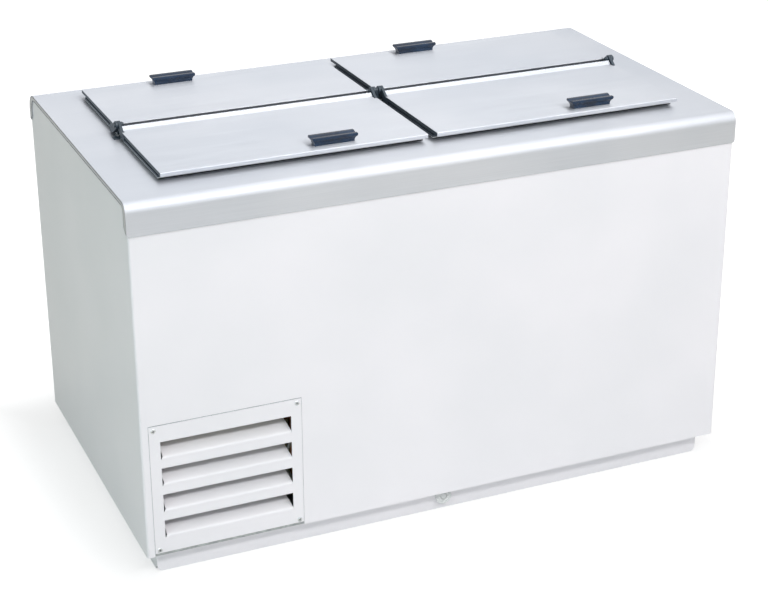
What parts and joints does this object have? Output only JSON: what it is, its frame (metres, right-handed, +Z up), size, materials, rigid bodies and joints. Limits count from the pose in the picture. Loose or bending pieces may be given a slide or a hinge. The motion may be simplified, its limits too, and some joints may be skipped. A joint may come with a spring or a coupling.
{
  "type": "ice cream freezer",
  "caption": "Low chest freezer on a plinth, with folding lids that share a hinge line over open wells, and a louvred service panel.",
  "frame": {"origin": "on the floor at the middle of the footprint", "axes": "+X to the right along the width, +Y to the rear, +Z up"},
  "size_m": [1.3, 0.745, 0.8325],
  "materials": {
    "white_paint": "smooth semi-gloss white paint",
    "stainless_sheet": "fine brushed stainless sheet",
    "dark_plastic": "dark grey moulded plastic",
    "navy_plastic": "dark blue moulded plastic",
    "light_plastic": "white moulded plastic",
    "foam": "rigid cream foam",
    "gasket_rubber": "soft black rubber",
    "bracket_steel": "dark painted steel",
    "bright_steel": "bright plated steel",
    "zinc_sheet": "galvanised sheet",
    "liner_sheet": "satin coated aluminium sheet",
    "copper": "drawn copper tube",
    "black_paint": "black stove enamel",
    "condenser_metal": "bare aluminium fins",
    "motor_metal": "grey cast housing",
    "black_plastic": "black moulded plastic"
  },
  "bodies": {
    "cabinet": {"plinth_frame": "white_paint", "drain_cap": "light_plastic", "drain_pipe": "light_plastic", "base_pan": "zinc_sheet", "outer_shell": "white_paint", "rear_panel": "zinc_sheet", "insulation": "foam", "tank_liner": "liner_sheet", "evaporator_coil": "copper", "worktop": "stainless_sheet", "left_well_collar": "light_plastic", "right_well_collar": "light_plastic", "left_hinge_rail": "light_plastic", "right_hinge_rail": "light_plastic", "left_hinge_bracket": "bracket_steel", "middle_hinge_bracket": "bracket_steel", "right_hinge_bracket": "bracket_steel", "hinge_pins": "bright_steel", "bracket_screws": "bright_steel", "panel_mounting_frame": "zinc_sheet", "louvred_panel": "white_paint", "panel_screws": "bright_steel", "compressor": "black_paint", "compressor_grommets": "gasket_rubber", "condenser": "condenser_metal", "fan_shroud": "black_paint", "fan_motor": "motor_metal", "filter_drier": "copper", "discharge_pipe": "copper", "liquid_pipes": "copper", "suction_pipe": "copper", "thermostat_body": "black_plastic", "electrical_box": "light_plastic", "cable_gland": "black_plastic"},
    "front_left_lid": {"front_left_skin": "stainless_sheet", "front_left_frame": "dark_plastic", "front_left_core": "foam", "front_left_pan": "light_plastic", "front_left_gasket": "gasket_rubber", "front_left_handle": "navy_plastic"},
    "front_right_lid": {"front_right_skin": "stainless_sheet", "front_right_frame": "dark_plastic", "front_right_core": "foam", "front_right_pan": "light_plastic", "front_right_gasket": "gasket_rubber", "front_right_handle": "navy_plastic"},
    "rear_left_lid": {"rear_left_skin": "stainless_sheet", "rear_left_frame": "dark_plastic", "rear_left_core": "foam", "rear_left_pan": "light_plastic", "rear_left_gasket": "gasket_rubber", "rear_left_handle": "navy_plastic"},
    "rear_right_lid": {"rear_right_skin": "stainless_sheet", "rear_right_frame": "dark_plastic", "rear_right_core": "foam", "rear_right_pan": "light_plastic", "rear_right_gasket": "gasket_rubber", "rear_right_handle": "navy_plastic"},
    "fan": {"fan_blade": "light_plastic"},
    "knob": {"thermostat_knob": "black_plastic"}
  },
  "joints": [
    {"name": "front_left_lid_hinge", "type": "hinge", "parent": "cabinet", "child": "front_left_lid", "pos_m": [0, -0.0075, 0.823], "axis": [1, 0, 0], "range_deg": [-177, 0]},
    {"name": "front_right_lid_hinge", "type": "hinge", "parent": "cabinet", "child": "front_right_lid", "pos_m": [0, -0.0075, 0.823], "axis": [1, 0, 0], "range_deg": [-177, 0]},
    {"name": "rear_left_lid_hinge", "type": "hinge", "parent": "cabinet", "child": "rear_left_lid", "pos_m": [0, -0.0075, 0.823], "axis": [1, 0, 0], "range_deg": [0, 177]},
    {"name": "rear_right_lid_hinge", "type": "hinge", "parent": "cabinet", "child": "rear_right_lid", "pos_m": [0, -0.0075, 0.823], "axis": [1, 0, 0], "range_deg": [0, 177]},
    {"name": "condenser_fan", "type": "hinge", "parent": "cabinet", "child": "fan", "pos_m": [-0.475, -0.2542, 0.1722], "axis": [0, 1, 0], "continuous": true},
    {"name": "thermostat_turn", "type": "hinge", "parent": "cabinet", "child": "knob", "pos_m": [-0.415, 0.3605, 0.269], "axis": [0, 1, 0], "range_deg": [0, 300]}
  ]
}
